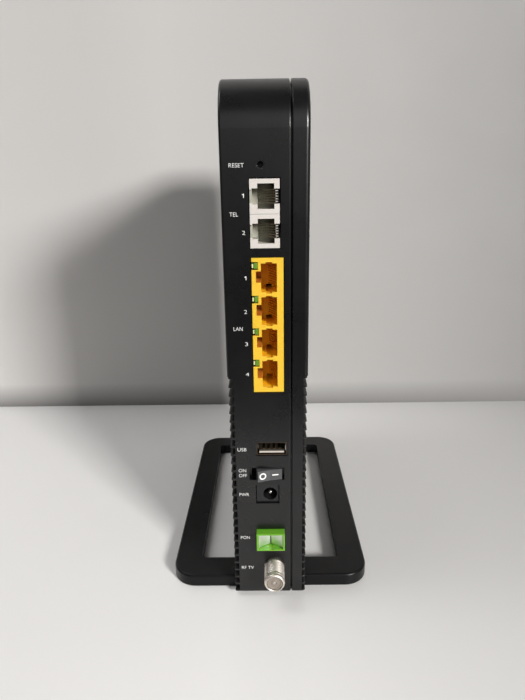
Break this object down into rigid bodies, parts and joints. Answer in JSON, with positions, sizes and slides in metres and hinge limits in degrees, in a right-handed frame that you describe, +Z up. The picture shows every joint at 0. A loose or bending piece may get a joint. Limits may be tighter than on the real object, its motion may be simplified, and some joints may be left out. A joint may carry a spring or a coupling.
{
  "type": "optical network terminal",
  "caption": "Slim upright optical network terminal on a flat ring stand, with telephone, network, USB, power, fibre and television sockets and a rocker power switch on its rear edge.",
  "frame": {"origin": "middle of the footprint, on the surface it stands on", "axes": "+Z up, +Y from the port face to the light edge, +X from the moulded shell to its side cover"},
  "size_m": [0.099, 0.1793, 0.2337],
  "materials": {
    "case_black": "fine matte grain",
    "stand_black": "satin",
    "foot_rubber": "matte",
    "screw_steel": "zinc plated",
    "board_green": "solder mask",
    "chip_black": "epoxy",
    "sink_alloy": "extruded",
    "can_tin": "tinned",
    "tel_ivory": "moulded",
    "lan_yellow": "moulded",
    "contact_gold": "gold plated",
    "led_green": "tinted",
    "usb_steel": "bright",
    "insert_black": "moulded",
    "rocker_black": "satin",
    "inlet_black": "moulded",
    "pon_green": "moulded",
    "shutter_steel": "bright",
    "sleeve_ceramic": "ceramic",
    "rf_nickel": "nickel plated",
    "rf_plug": "moulded",
    "lens_smoke": "smoked"
  },
  "bodies": {
    "case": {"main_shell": "case_black", "side_cover": "case_black", "stand_ring": "stand_black", "stand_feet": "foot_rubber", "stand_screws": "screw_steel", "cover_screws": "screw_steel", "main_pcb": "board_green", "pcb_screws": "screw_steel", "processor": "chip_black", "heatsink": "sink_alloy", "memory_chips": "chip_black", "wifi_shield_can": "can_tin", "line_shield_can": "can_tin", "capacitors": "sink_alloy", "inductors": "chip_black", "line_transformers": "chip_black", "antenna_plates": "can_tin", "rj11_jack_1": "tel_ivory", "rj11_jack_2": "tel_ivory", "rj11_contacts_1": "contact_gold", "rj11_contacts_2": "contact_gold", "lan_jack_block": "lan_yellow", "usb_shell": "usb_steel", "usb_tongue": "insert_black", "usb_contacts": "contact_gold", "rocker_frame": "inlet_black", "rocker_terminals": "can_tin", "dc_jack_body": "inlet_black", "dc_jack_pin": "rf_nickel", "dc_jack_spring": "can_tin", "pon_adapter": "pon_green", "pon_ferrule_sleeve": "sleeve_ceramic", "pon_module": "can_tin", "rf_barrel": "rf_nickel", "rf_insulator": "rf_plug", "rf_contact": "contact_gold", "reset_switch_body": "chip_black", "wps_switch_body": "chip_black", "status_light_guide": "lens_smoke", "status_leds": "sleeve_ceramic", "lan_contacts_1": "contact_gold", "lan_led_1": "led_green", "lan_contacts_2": "contact_gold", "lan_led_2": "led_green", "lan_contacts_3": "contact_gold", "lan_led_3": "led_green", "lan_contacts_4": "contact_gold", "lan_led_4": "led_green"},
    "rocker": {"rocker_paddle": "rocker_black"},
    "reset_pin": {"reset_plunger": "inlet_black"},
    "shutter_left": {"pon_shutter_left": "shutter_steel"},
    "shutter_right": {"pon_shutter_right": "shutter_steel"},
    "pair_button": {"wps_button": "rocker_black"}
  },
  "joints": [
    {"name": "rocker_hinge", "type": "hinge", "parent": "case", "child": "rocker", "pos_m": [-0.0009, -0.0732, 0.0676], "axis": [0, 0, 1], "range_deg": [-26.9, 0]},
    {"name": "reset_press", "type": "slide", "parent": "case", "child": "reset_pin", "axis": [0, 1, 0], "range_m": [0, 0.0004], "stiffness_N_per_m": 500, "springref_m": -0.0012},
    {"name": "shutter_left_hinge", "type": "hinge", "parent": "case", "child": "shutter_left", "pos_m": [-0.0049, -0.08, 0.03365], "axis": [0, 0, 1], "range_deg": [0, 58], "stiffness_Nm_per_rad": 0.0008, "springref_deg": -20.05},
    {"name": "shutter_right_hinge", "type": "hinge", "parent": "case", "child": "shutter_right", "pos_m": [0.0059, -0.08, 0.03365], "axis": [0, 0, -1], "range_deg": [0, 58], "stiffness_Nm_per_rad": 0.0008, "springref_deg": -20.05},
    {"name": "pair_press", "type": "slide", "parent": "case", "child": "pair_button", "axis": [0, -1, 0], "range_m": [0, 0.0006], "stiffness_N_per_m": 400, "springref_m": -0.0015}
  ]
}
